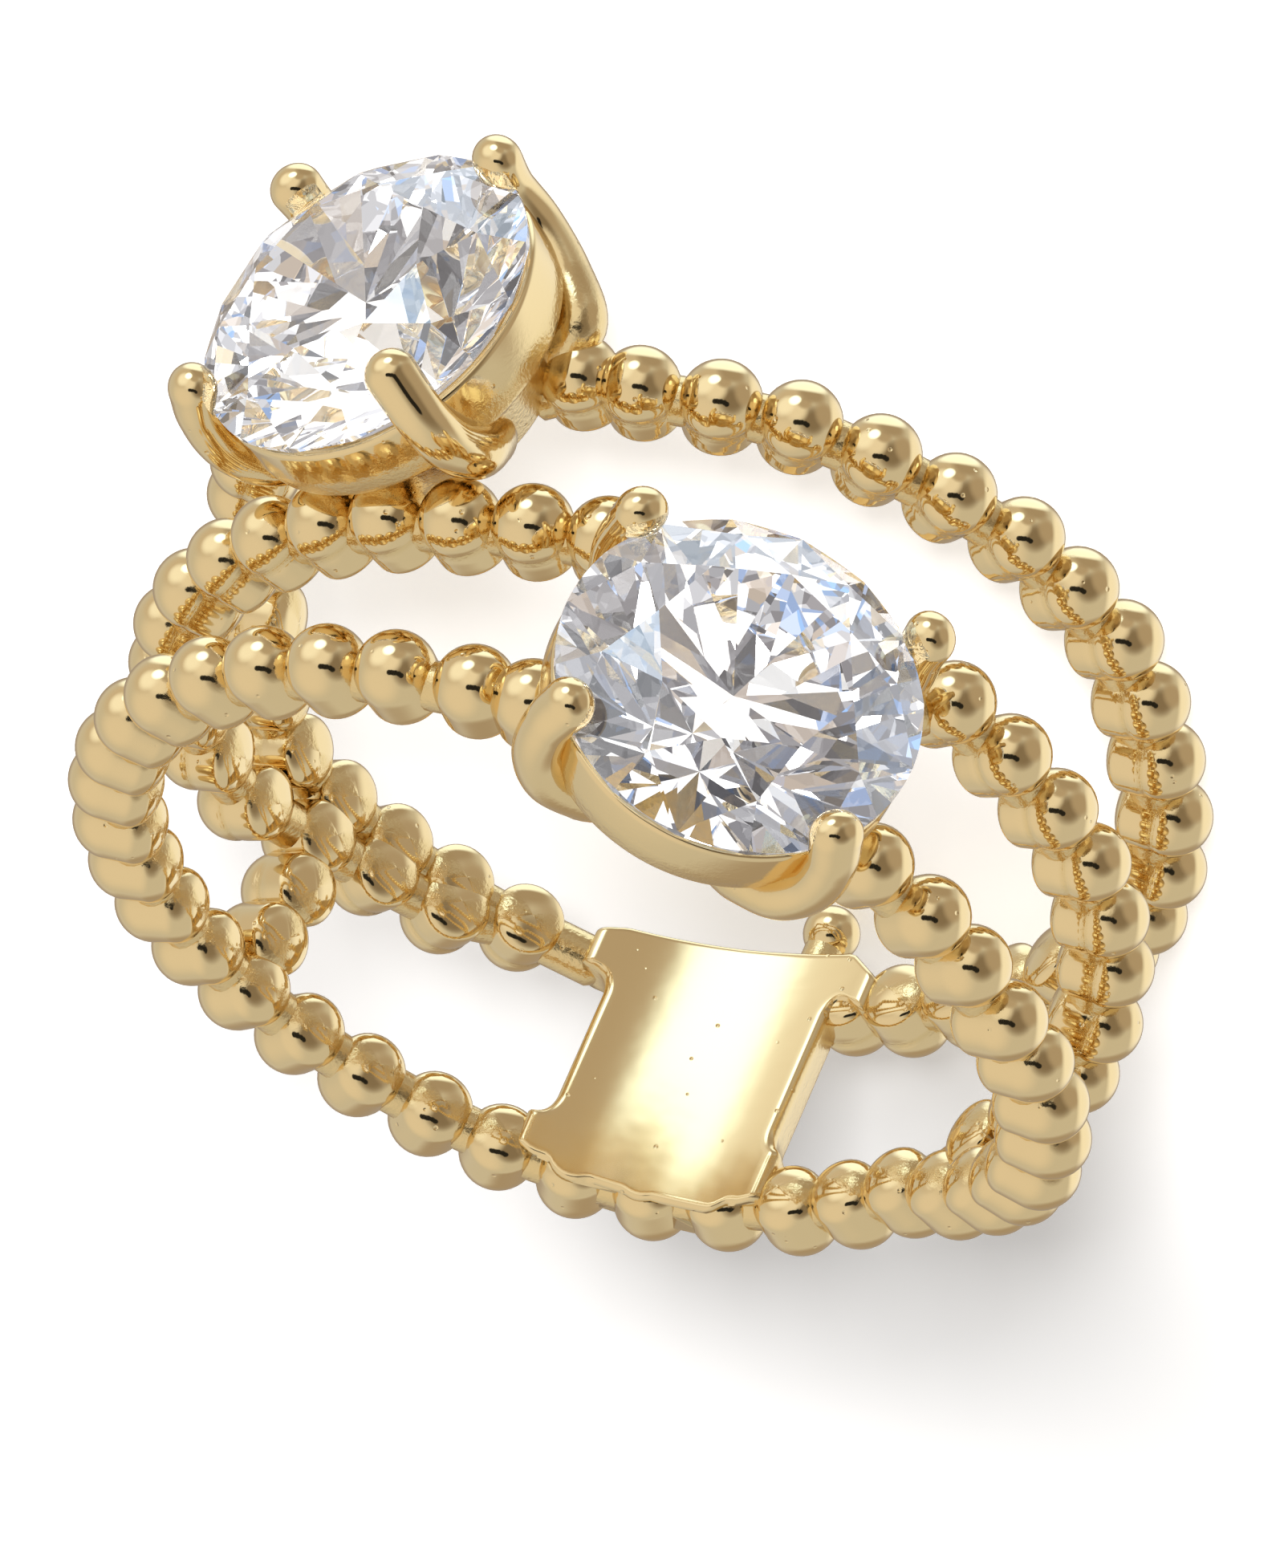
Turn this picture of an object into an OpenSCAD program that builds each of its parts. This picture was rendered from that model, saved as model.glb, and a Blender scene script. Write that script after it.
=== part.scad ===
// Finger ring of three beaded strands with two round brilliant stones.
// Working axes: finger hole along Y, stones up at +Z, front strand at y = 0.
// The last step turns the ring into the pose in which it lies on its rear side.

/* [Finger hole] */
// Radius of the finger hole
finger_r = 8.55; // [7.5:0.05:11]

/* [Beads] */
// Radius of a bead
bead_r = 0.79; // [0.5:0.01:1.2]
// Distance from the finger axis to the centre of a bead's dome
dome_at = 9.64; // [8.5:0.01:12]
// Radius of a bead's flat inner face
disc_r = 0.52; // [0.3:0.01:1]
// Height of the slope between a bead's flat face and its side
bead_slope = 0.22; // [0.1:0.01:0.4]
// Radius of the neck between two beads
neck_r = 0.45; // [0.2:0.01:0.8]
// Distance from the finger axis to the necks
neck_at = 9.35; // [8.5:0.01:12]

/* [Plate] */
// Thickness of the plate at the bottom of the ring
plate_t = 1.2; // [0.6:0.05:2]
// Width of the plate round the finger
plate_w = 4.5; // [2:0.1:8]
// Radius of the windows' corners
corner_r = 0.6; // [0.2:0.05:1]

/* [Stones] */
// Diameter of both stones
stone_d = 7.0; // [3:0.1:9]
// Table width as a share of the diameter
table_share = 0.56; // [0.5:0.01:0.7]
// Slope of the crown in degrees
crown_angle = 34; // [25:0.5:40]
// Slope of the pavilion in degrees
pavilion_angle = 40.75; // [38:0.25:45]
// Thickness of the girdle
girdle_t = 0.14; // [0.05:0.01:0.4]
// Gap between the point of a stone and the finger
point_gap = 0.55; // [0.2:0.05:2]

/* [Settings] */
// Radius of a prong
prong_r = 0.47; // [0.2:0.01:0.8]
// Gap between a stone and its setting
seat_gap = 0.03; // [0.01:0.01:0.1]
// Radius of the arms that carry a setting
arm_r = 0.5; // [0.3:0.01:0.9]

/* [Hidden] */
$fn = 32;

// Step from the finger hole back to the beads' flat faces.
face_back = 0.03;
// Radius of a bead's side, low and at the dome's centre, as a share of the bead's.
side_share = 0.82;
top_share = 0.97;

// Strands. Columns: angle from the top, y, beads to the next row.
front_rows = [
    [45.9, 0.10, 1], [55.3, 0.00, 1], [63.6, -0.15, 1], [73, -0.30, 4], [110, -0.10, 4],
    [145, 0.85, 2], [161, 0.40, 2], [180, 0.10, 2], [199, 0.00, 5], [246, 0.00, 7],
    [309, 0.00, 5], [356.6, 0.03, 1], [363.4, 0.05, 0]];
middle_left_rows = [
    [3.7, 3.74, 2], [-13.7, 3.46, 3], [-41.9, 3.25, 2], [-61, 3.05, 4], [-100, 3.00, 1],
    [-111, 3.05, 1], [-122.5, 3.50, 1], [-133, 3.75, 1], [-143, 3.95, 0]];
middle_right_rows = [
    [47.1, 3.90, 3], [76.3, 3.60, 2], [95, 3.20, 2], [113.5, 2.35, 2], [131, 1.50, 0]];
rear_right_rows = [
    [-7.5, 6.95, 1], [-0.3, 7.00, 2], [18.2, 7.40, 3], [46.7, 7.62, 2], [65.6, 7.45, 2],
    [83, 6.70, 3], [112, 5.90, 5], [157.6, 5.10, 1], [165.5, 5.00, 0]];
rear_left_rows = [
    [-44, 6.80, 4], [-81, 7.00, 1], [-90, 6.95, 1], [-98, 6.00, 1], [-105.5, 5.05, 1],
    [-113.5, 4.55, 1], [-123, 4.46, 3], [-152.3, 4.45, 0]];
link_rows = [[-123, 2.30, 1], [-122.4, 1.05, 0]];
strands = [front_rows, middle_left_rows, middle_right_rows, rear_right_rows, rear_left_rows, link_rows];

// Settings. Columns: angle from the top, y, lean towards the rear in degrees.
front_place = [22.8, 0.60, 8];
rear_place = [-25, 6.47, 2.5];

// Prongs round each setting. Columns: angle of the tip, angle of the foot, reach over the stone, bend.
front_prongs = [[42, 42, -0.25, 0], [142, 142, -0.15, 0], [220, 232, 0, 0], [318, 302, 0, 0]];
rear_prongs = [[56, 14, 0, 1], [138, 138, -0.25, 0], [222, 222, 0, 0], [315, 329, 0.3, 0]];

// Arms. Columns: angle and y of the bead they leave, angle and y where they end.
arms = [
    [45.9, 0.10, 35, 0.3], [3.4, 0.05, 11, 0.3], [3.7, 3.74, 13, 1.9], [47.1, 3.90, 33, 1.75],
    [-7.5, 6.95, -13, 6.5], [-44, 6.80, -37, 6.5], [-152.3, 4.45, -164, 4.4], [165.5, 5.00, 172, 4.9],
    [-143, 3.95, -151, 4.4], [131, 1.50, 140, 0.85], [-122.5, 3.50, -123, 2.3],
    [-122.4, 1.05, -122.2, 0.1]];

stone_r = stone_d / 2;
table_r = table_share * stone_r;
star_r = 0.80 * stone_r;
lower_r = 0.24 * stone_r;
half_girdle = girdle_t / 2;
girdle_at = finger_r + point_gap + half_girdle + stone_r * tan(pavilion_angle);

// Cup: a collar under the girdle that narrows to a foot. Columns: radius beyond the stone's, height.
cup = [
    [-0.03, -0.25], [-0.03, -1.10], [-0.12, -1.55], [-0.45, -1.75], [-1.30, -3.20],
    [-1.75, -3.20], [-1.00, -1.90], [-0.50, -1.00], [-0.26, -0.25]];
// Prong line. Columns: radius beyond the stone's, height, shares of the foot's angle, reach and bend.
prong_line = [
    [-1.30, -2.60, 1, 0, 0.3], [-0.75, -2.25, 0.8, 0, 0.57], [-0.05, -1.75, 0.4, 0, -0.1],
    [0.30, -1.00, 0.1, 0, -0.35], [0.30, -0.15, 0, 0, -0.32], [0.08, 0.50, 0, 1, 0]];

// Largest angle from the bottom at which a bead scallops the plate's front edge.
scallop_angle = 12;

// Loose ball behind the plate. Columns: angle, y, radius, distance from the axis.
ball = [171, 6.45, 0.57, 9.1];

// Turn and shift of the ring as it lies on its rear side.
rest_turn = [-7.61, -4.15, 0];
rest_shift = [-0.245, 1.769, 8.268];

function polar(a, y, r) = [r * sin(a), y, r * cos(a)];
function bead_list(rows) = [
    for (i = [0:len(rows) - 1]) let (now = rows[i], next = rows[min(i + 1, len(rows) - 1)])
        for (k = [0:max(now[2], 1) - 1]) let (t = k / max(now[2], 1))
            [now[0] + (next[0] - now[0]) * t, now[1] + (next[1] - now[1]) * t]];

// Round bar between two points.
module rod(p, q, r) {
    d = q - p;
    translate(p) rotate([0, acos(d[2] / norm(d)), atan2(d[1], d[0])]) cylinder(r = r, h = norm(d));
}

// Bead with its flat face towards the finger: a sloped edge, a nearly straight side and a dome.
module bead() {
    face = finger_r + face_back;
    rotate_extrude() {
        intersection() {
            translate([0, dome_at]) circle(r = bead_r);
            translate([0, face]) square([bead_r * 2, bead_r * 4]);
        }
        polygon([
            [0, face], [disc_r, face], [bead_r * side_share, face + bead_slope],
            [bead_r * top_share, dome_at], [0, dome_at]]);
    }
}

module strand(rows) {
    places = bead_list(rows);
    for (b = places) translate([0, b[1], 0]) rotate([0, b[0], 0]) bead();
    for (i = [0:len(places) - 2]) {
        p = places[i];
        q = places[i + 1];
        rod(polar(p[0], p[1], neck_at), polar(q[0], q[1], neck_at), neck_r);
    }
}

// Rectangle with round corners, from its lower left corner.
module window(x, y, w, h) {
    translate([x + corner_r, y]) square([w - 2 * corner_r, h]);
    translate([x, y + corner_r]) square([w, h - 2 * corner_r]);
    for (u = [x + corner_r, x + w - corner_r]) for (v = [y + corner_r, y + h - corner_r])
        translate([u, v]) circle(r = corner_r);
}

// Outline of the plate seen from below, with a window at each side and a scalloped front edge.
module plate_outline() {
    half = plate_w / 2;
    difference() {
        union() {
            polygon([[-half - 0.4, -0.1], [-half, -0.25], [half - 0.2, -0.1], [half + 0.2, 0.1],
                [half + 0.2, 1.5], [half + 0.75, 4.5], [half + 0.75, 5.3], [half, 5.85],
                [0, 5.45], [-half, 5.1], [-half - 0.6, 4.85], [-half - 0.4, 1.2]]);
            for (b = bead_list(front_rows)) if (abs(b[0] - 180) < scallop_angle)
                translate([finger_r * sin(b[0]), b[1]]) circle(r = disc_r + 0.03);
        }
        window(-half - 6, 0.62, 6, 3.38);
        window(half - 0.2, 1.1, 6, 3.55);
    }
}

// Plate: the part of a tube round the finger that lies inside the outline.
module plate() {
    intersection() {
        difference() {
            translate([0, -1, 0]) rotate([-90, 0, 0]) cylinder(r = finger_r + plate_t, h = 8, $fn = 96);
            translate([0, -2, 0]) rotate([-90, 0, 0]) cylinder(r = finger_r, h = 10, $fn = 96);
        }
        translate([0, 0, -finger_r - plate_t - 1]) linear_extrude(5) plate_outline();
    }
}

// Clear space for a stone, slightly larger than its round outline.
module stone_space() {
    g = half_girdle + seat_gap;
    r = stone_r + seat_gap;
    rotate_extrude() polygon([
        [0, -g - r * tan(pavilion_angle)], [r, -g], [r, g], [table_r, g + (r - table_r) * tan(crown_angle)],
        [0, g + (r - table_r) * tan(crown_angle)]]);
}

// Setting round the origin, which is the centre of the girdle.
module setting(prongs) {
    difference() {
        union() {
            rotate_extrude() polygon([for (p = cup) [stone_r + p[0], p[1]]]);
            for (a = prongs) prong(a[0], a[1], a[2], a[3]);
        }
        stone_space();
    }
}

// Prong from its foot on the cup to its tip over the crown, with a ball at each bend.
module prong(tip, foot, reach, bend) {
    line = [for (p = prong_line)
        let (a = tip + (foot - tip) * p[2], r = stone_r + p[0] - reach * p[3] + bend * p[4])
            [r * cos(a), r * sin(a), p[1] + reach * p[3] * 0.8]];
    for (i = [0:len(line) - 2]) {
        rod(line[i], line[i + 1], prong_r);
        translate(line[i + 1]) sphere(r = prong_r * 1.06);
    }
}

// Setting in its place, kept clear of the finger.
module placed_setting(place, prongs) {
    difference() {
        at_place(place) setting(prongs);
        translate([0, -stone_d, 0]) rotate([-90, 0, 0])
            cylinder(r = finger_r + 0.05, h = 3 * stone_d, $fn = 96);
    }
}

// Brilliant cut: a table, 8 star, 8 kite and 16 upper facets, a girdle, 16 lower and 8 main facets.
function ring_points(r, z, n, turn) = [
    for (i = [0:n - 1]) let (a = 360 * i / n + turn) [r * cos(a), r * sin(a), z]];
module brilliant() {
    kite_z = half_girdle + (stone_r - star_r * cos(22.5)) * tan(crown_angle);
    main_z = -half_girdle - (stone_r - lower_r * cos(22.5)) * tan(pavilion_angle);
    points = concat(
        ring_points(table_r, half_girdle + (stone_r - table_r) * tan(crown_angle), 8, 0),
        ring_points(star_r, kite_z, 8, 22.5),
        ring_points(stone_r, half_girdle, 16, 0),
        ring_points(stone_r, -half_girdle, 16, 0),
        ring_points(lower_r, main_z, 8, 22.5),
        [[0, 0, -half_girdle - stone_r * tan(pavilion_angle)]]);
    t = 0; s = 8; g = 16; b = 32; l = 48; c = 56;
    faces = concat(
        [[for (i = [7:-1:0]) t + i]],
        [for (i = [0:7]) [t + i, t + (i + 1) % 8, s + i]],
        [for (i = [0:7]) [t + i, s + i, g + 2 * i, s + (i + 7) % 8]],
        [for (i = [0:7]) [s + i, g + 2 * i + 1, g + 2 * i]],
        [for (i = [0:7]) [s + i, g + (2 * i + 2) % 16, g + 2 * i + 1]],
        [for (i = [0:15]) [g + i, g + (i + 1) % 16, b + (i + 1) % 16, b + i]],
        [for (i = [0:7]) [b + 2 * i, b + 2 * i + 1, l + i]],
        [for (i = [0:7]) [b + 2 * i + 1, b + (2 * i + 2) % 16, l + i]],
        [for (i = [0:7]) [b + 2 * i, l + i, c, l + (i + 7) % 8]]);
    polyhedron(points, faces);
}

module at_place(p) {
    translate([0, p[1], 0]) rotate([0, p[0], 0])
        translate([0, 0, girdle_at]) rotate([-p[2], 0, 0]) children();
}

// The ring as it lies: front strand up, stones towards -Y.
module lying() {
    translate(rest_shift) rotate(rest_turn) rotate([-90, 0, 180]) children();
}

module beaded_band() {
    color("gold") lying() {
        for (s = strands) strand(s);
        for (a = arms) rod(polar(a[0], a[1], neck_at), polar(a[2], a[3], neck_at), arm_r);
        plate();
        translate(polar(ball[0], ball[1], ball[3])) sphere(r = ball[2]);
        rod(polar(ball[0], ball[1], ball[3]), polar(ball[0], ball[1] - 1.2, ball[3]), arm_r * 0.8);
        placed_setting(front_place, front_prongs);
        placed_setting(rear_place, rear_prongs);
    }
}

module front_stone() {
    color("white") lying() at_place(front_place) brilliant();
}

module rear_stone() {
    color("white") lying() at_place(rear_place) brilliant();
}

beaded_band();
front_stone();
rear_stone();
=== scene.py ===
"""Beaded finger ring with two round stones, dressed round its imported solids.

The ring is built in working axes in millimetres: the finger hole lies along Y, the stones stand up
at +Z and the front strand is at y = 0. to_row() turns and moves it to where the ring lies, in metres.
"""

import math

import bpy
import numpy as np
from mathutils import Matrix


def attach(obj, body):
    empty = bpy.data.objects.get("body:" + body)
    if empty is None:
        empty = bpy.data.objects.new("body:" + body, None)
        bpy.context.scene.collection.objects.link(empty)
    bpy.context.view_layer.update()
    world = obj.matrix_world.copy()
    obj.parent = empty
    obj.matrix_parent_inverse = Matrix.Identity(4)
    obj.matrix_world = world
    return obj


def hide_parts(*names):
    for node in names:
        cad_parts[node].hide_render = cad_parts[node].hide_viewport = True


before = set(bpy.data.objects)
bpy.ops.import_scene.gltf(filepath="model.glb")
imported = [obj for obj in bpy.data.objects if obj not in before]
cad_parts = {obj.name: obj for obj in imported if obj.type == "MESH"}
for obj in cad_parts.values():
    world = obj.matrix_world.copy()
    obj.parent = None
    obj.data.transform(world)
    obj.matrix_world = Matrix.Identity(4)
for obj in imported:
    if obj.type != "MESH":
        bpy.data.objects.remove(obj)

bl_info = {
    "name": "Beaded Ring",
    "version": (1, 0, 0),
    "blender": (4, 5, 0),
    "location": "3D View > Sidebar > Ring",
    "description": "Builds a beaded gold ring with two round stones and its studio",
    "category": "Object",
}

MM = 0.001
FINGER_R = 8.55
# Plate: thickness, width, radii of the front edge's arcs, of the window corners and of the rim.
PLATE_T = 1.2
PLATE_W = 4.5
SCALLOP_R = 0.55
WINDOW_R = 0.6
RIM_R = 0.14
# Windows beside the plate: y and largest step of the front corner and of the rear one, stretch.
LEFT_WINDOW = (1.22, 0.4, 3.4, 0.6, 1.0)
RIGHT_WINDOW = (1.6, 0.25, 3.95, 0.7, 1.3)
# Rest: turn about X, then about Y, in degrees, then shift.
REST_TURN = (-7.61, -4.15)
REST_SHIFT = (-0.245, 1.769, 8.268)

# Strands. Columns: angle from the top, y, beads to the next row.
FRONT_ROWS = [
    (45.9, 0.10, 1), (55.3, 0.00, 1), (63.6, -0.15, 1), (73, -0.30, 4), (110, -0.10, 4),
    (145, 0.85, 2), (161, 0.40, 2), (180, 0.10, 2), (199, 0.00, 5), (246, 0.00, 7),
    (309, 0.00, 5), (356.6, 0.03, 1), (363.4, 0.05, 0)]
MIDDLE_LEFT_ROWS = [
    (3.7, 3.74, 2), (-13.7, 3.46, 3), (-41.9, 3.25, 2), (-61, 3.05, 4), (-100, 3.00, 1),
    (-111, 3.05, 1), (-122.5, 3.50, 1), (-133, 3.75, 1), (-143, 3.95, 0)]
MIDDLE_RIGHT_ROWS = [
    (47.1, 3.90, 3), (76.3, 3.60, 2), (95, 3.20, 2), (113.5, 2.35, 2), (131, 1.50, 0)]
REAR_RIGHT_ROWS = [
    (-7.5, 6.95, 1), (-0.3, 7.00, 2), (18.2, 7.40, 3), (46.7, 7.62, 2), (65.6, 7.45, 2),
    (83, 6.70, 3), (112, 5.90, 5), (157.6, 5.10, 1), (165.5, 5.00, 0)]
REAR_LEFT_ROWS = [
    (-44, 6.80, 4), (-81, 7.00, 1), (-90, 6.95, 1), (-98, 6.00, 1), (-105.5, 5.05, 1),
    (-113.5, 4.55, 1), (-123, 4.46, 3), (-152.3, 4.45, 0)]
LINK_ROWS = [(-123, 2.30, 1), (-122.4, 1.05, 0)]

# Settings: angle from the top, y, lean towards the rear in degrees.
FRONT_PLACE = (22.8, 0.60, 8.0)
REAR_PLACE = (-25.0, 6.47, 2.5)
# Prongs. Columns: angle of the tip, angle of the foot, reach over the stone, bend.
FRONT_PRONGS = [(42, 42, -0.25, 0), (142, 142, -0.15, 0), (220, 232, 0, 0), (318, 302, 0, 0)]
REAR_PRONGS = [(56, 14, 0, 1), (138, 138, -0.25, 0), (222, 222, 0, 0), (315, 329, 0.3, 0)]
# Prong line. Columns: radius beyond the stone's, height, shares of the foot's angle, reach and bend.
PRONG_LINE = [
    (-1.30, -2.60, 1, 0, 0.3), (-0.75, -2.25, 0.8, 0, 0.57), (-0.05, -1.75, 0.4, 0, -0.1),
    (0.30, -1.00, 0.1, 0, -0.35), (0.30, -0.15, 0, 0, -0.32), (0.08, 0.50, 0, 1, 0)]
# Cup of a setting. Columns: radius beyond the stone's, height from the girdle.
CUP = [
    (-0.03, -0.25), (-0.03, -1.10), (-0.12, -1.55), (-0.45, -1.75), (-1.30, -3.20),
    (-1.75, -3.20), (-1.00, -1.90), (-0.50, -1.00), (-0.26, -0.25)]

# Arms. Columns: angle and y of the bead they leave, angle and y where they end.
SETTING_ARMS = [
    (45.9, 0.10, 35, 0.3), (3.4, 0.05, 11, 0.3), (3.7, 3.74, 13, 1.9), (47.1, 3.90, 33, 1.75),
    (-7.5, 6.95, -13, 6.5), (-44, 6.80, -37, 6.5)]
BAND_ARMS = [
    (-152.3, 4.45, -164, 4.4), (165.5, 5.00, 172, 4.9), (-143, 3.95, -151, 4.4),
    (131, 1.50, 140, 0.85), (-122.5, 3.50, -123, 2.3), (-122.4, 1.05, -122.2, 0.1)]
# Ball and foot of its stem: angle, y, distance from the finger's axis. Then their radii.
BALL_PLACE = (171, 6.45, 9.1)
STEM_FOOT = (171, 5.25, 9.1)
BALL_R, STEM_R = 0.57, 0.4

# Beads: spread of their sizes, and of their angles in degrees.
SIZE_SPREAD, ANGLE_SPREAD = 0.008, 0.12
# Seam: depth below the dome's centre, width, and cut as a share of the radius.
SEAM_DEPTH, SEAM_WIDTH, SEAM_CUT = 0.16, 0.055, 0.035
# Necks: height and width as shares of their radius. Arms: radius.
NECK_HEIGHT, NECK_WIDTH, ARM_R = 1.12, 1.05, 0.5
# Rounding of the cup's corners, and the gaps that cup, prongs and finger are given.
CUP_ROUND, CUP_GAP, PRONG_GAP, FINGER_GAP = 0.13, 0.02, 0.015, 0.05
# Brilliant: circles of the stars' and of the lower facets' corners as shares of the radius.
STAR_SHARE, LOWER_SHARE = 0.80, 0.24
# Grain of the parts, from 0 for polished to 1 for as cast.
BAR_GRAIN, SEAM_GRAIN, PLATE_EDGE_GRAIN, BALL_GRAIN = 0.9, 0.9, 0.55, 0.1

# Steps of colour. Columns: start, colour.
FACET_TINTS = ((0.80, (0.90, 0.95, 1.0)), (0.92, (1.0, 0.965, 0.92)))
# Painted glints: colours that the stones glow with after deep inner reflections.
DEEP_GLINTS = (
    (0.0, (0.07, 0.07, 0.08)), (0.22, (0.20, 0.19, 0.20)), (0.45, (0.36, 0.36, 0.38)),
    (0.66, (0.60, 0.60, 0.62)), (0.84, (0.20, 0.34, 0.62)), (0.91, (0.50, 0.40, 0.30)),
    (0.94, (1.1, 1.1, 1.1)))
PANEL_TONES = (
    (0.0, (0.07, 0.07, 0.08)), (0.26, (0.25, 0.24, 0.26)), (0.56, (0.42, 0.41, 0.43)),
    (0.79, (0.98, 0.98, 0.98)), (0.90, (0.34, 0.48, 0.80)), (0.95, (0.60, 0.50, 0.42)))
# Cells of the stones' painted glints per metre, panels round the scene, inner reflections a stone follows.
GLINT_CELLS, PANEL_CELLS, DEEPEST = 1100, 4.5, 3.5
# Painted shadow, a weaker floor glow: its middle, where it starts and ends in metres, and what is left of the
# glow.
SHADE_AT, SHADE_FROM, SHADE_TO, SHADE_SHARE = (-0.003, 0.021, 0.0), 0.002, 0.017, 0.3

# Surround, each area over the ones before it. Columns: direction to the right, up and back in view,
# start and end of the blend as cosines, brightness.
SURROUND_TONE = 0.66
AREAS = (
    ((-0.72, -0.52, 0.46), 0.45, 0.98, 0.80), ((0.52, -0.02, 0.85), 0.66, 0.97, 0.22),
    ((0.90, 0.25, 0.35), 0.80, 0.97, 0.42), ((-0.60, 0.75, 0.28), 0.60, 0.93, 0.62),
    ((-0.25, 0.45, 0.86), 0.80, 0.985, 0.92), ((-0.66, 0.62, 0.42), 0.84, 0.985, 1.15),
    ((0.13, 0.78, 0.61), 0.92, 0.985, 0.46), ((-0.27, 0.85, 0.45), 0.955, 0.988, 2.4),
    ((0.35, 0.90, 0.05), 0.82, 0.97, 0.38), ((0.12, 0.85, -0.50), 0.84, 0.94, 1.5),
    ((0.15, -0.70, -0.70), 0.85, 0.98, 0.38), ((0.0, 0.0, -1.0), 0.66, 0.95, 0.35),
    ((0.84, 0.0, -0.54), 0.76, 0.93, 1.1))
# Small dark spots about the direction to the camera. Columns: right, up. They share
# a blend and a brightness.
DARK_SPOTS = (
    (-0.30, -0.06), (-0.20, -0.06), (-0.10, -0.08), (0.0, -0.08), (0.16, -0.13), (0.26, -0.20))
SPOT_BLEND, SPOT_TONE = (0.990, 0.9945), 0.02


def turned(axis, degrees):
    """Rotation matrix about X or Y."""
    c, s = math.cos(math.radians(degrees)), math.sin(math.radians(degrees))
    if axis == "X":
        return np.array([[1, 0, 0], [0, c, -s], [0, s, c]])
    return np.array([[c, 0, s], [0, 1, 0], [-s, 0, c]])


LYING = np.array([[-1.0, 0, 0], [0, 0, -1.0], [0, -1.0, 0]])
REST = turned("Y", REST_TURN[1]) @ turned("X", REST_TURN[0]) @ LYING


def to_row(points):
    """Working axes in mm to the row's frame in metres: turned to the rest, then moved."""
    return (points @ REST.T + np.array(REST_SHIFT)) * MM


def polar(angle, y, radius):
    """Points at an angle from the top, a y and a distance from the finger's axis."""
    a = np.radians(angle)
    return np.stack(np.broadcast_arrays(radius * np.sin(a), y, radius * np.cos(a)), -1)


def bead_places(rows):
    """Angle and y of each bead: evenly spaced steps from each row's place to the next one's."""
    table = np.array(rows, float)
    at = np.concatenate([[0], np.cumsum(table[:-1, 2])])
    k = np.arange(at[-1] + 1)
    return np.interp(k, at, table[:, 0]), np.interp(k, at, table[:, 1])


# --- surfaces ---


def closed_shells(rings):
    """Points, quads and tris of k closed shells from an array (k, m, n, 3): m rings of n points each.

    Ring j and ring j + 1 are joined by quads, and each end ring is closed by a fan to its own centre.
    """
    k, m, n, _ = rings.shape
    poles = rings[:, [0, -1]].mean(2)
    points = np.concatenate([rings.reshape(k, m * n, 3), poles], 1).reshape(-1, 3)
    j, i = np.meshgrid(np.arange(m - 1), np.arange(n), indexing="ij")
    nxt = (i + 1) % n
    quads = np.stack([j * n + i, j * n + nxt, (j + 1) * n + nxt, (j + 1) * n + i], -1).reshape(-1, 4)
    i = np.arange(n)
    first = np.stack([np.full(n, m * n), (i + 1) % n, i], -1)
    last = np.stack([np.full(n, m * n + 1), (m - 1) * n + i, (m - 1) * n + (i + 1) % n], -1)
    tris = np.concatenate([first, last])
    step = (np.arange(k) * (m * n + 2))[:, None, None]
    return outwards(points, (quads + step).reshape(-1, 4), (tris + step).reshape(-1, 3))


def closed_ring(rings):
    """Points, quads and tris of a shell that closes both ways, from an array (m, n, 3)."""
    m, n, _ = rings.shape
    j, i = np.meshgrid(np.arange(m), np.arange(n), indexing="ij")
    a, b = (j + 1) % m, (i + 1) % n
    quads = np.stack([j * n + i, j * n + b, a * n + b, a * n + i], -1).reshape(-1, 4)
    return outwards(rings.reshape(-1, 3), quads, np.zeros((0, 3), int))


def outwards(points, quads, tris):
    """The same shape with its faces turned so that the sum of a . (b x c), its volume, is positive."""
    fan = np.concatenate([quads[:, [0, 1, 2]], quads[:, [0, 2, 3]], tris])
    a, b, c = (points[fan[:, i]] for i in range(3))
    if np.einsum("ij,ij->", a - points.mean(0), np.cross(b - points.mean(0), c - points.mean(0))) < 0:
        return points, quads[:, ::-1], tris[:, ::-1]
    return points, quads, tris


def merged(*shapes):
    """Several (points, quads, tris, grain) shapes as one."""
    points, quads, tris, grain, base = [], [], [], [], 0
    for p, q, t, g in shapes:
        points.append(p)
        quads.append(q + base)
        tris.append(t + base)
        grain.append(np.broadcast_to(g, len(p)))
        base += len(p)
    return np.concatenate(points), np.concatenate(quads), np.concatenate(tris), np.concatenate(grain)


def metal(name, shape, material):
    """A gold piece: a mesh at the origin with a grain value per point, riding on the ring."""
    points, quads, tris, grain = shape
    mesh = bpy.data.meshes.new(name)
    mesh.from_pydata(to_row(points), [], quads.tolist() + tris.tolist())
    mesh.polygons.foreach_set("use_smooth", np.full(len(mesh.polygons), True))
    mesh.attributes.new("grain", "FLOAT", "POINT").data.foreach_set(
        "value", np.full(len(points), grain, np.float32))
    mesh.materials.append(material)
    mesh.update()
    obj = bpy.data.objects.new(name, mesh)
    bpy.context.scene.collection.objects.link(obj)
    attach(obj, "root")
    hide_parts("beaded_band")


# --- metal ---


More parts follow.
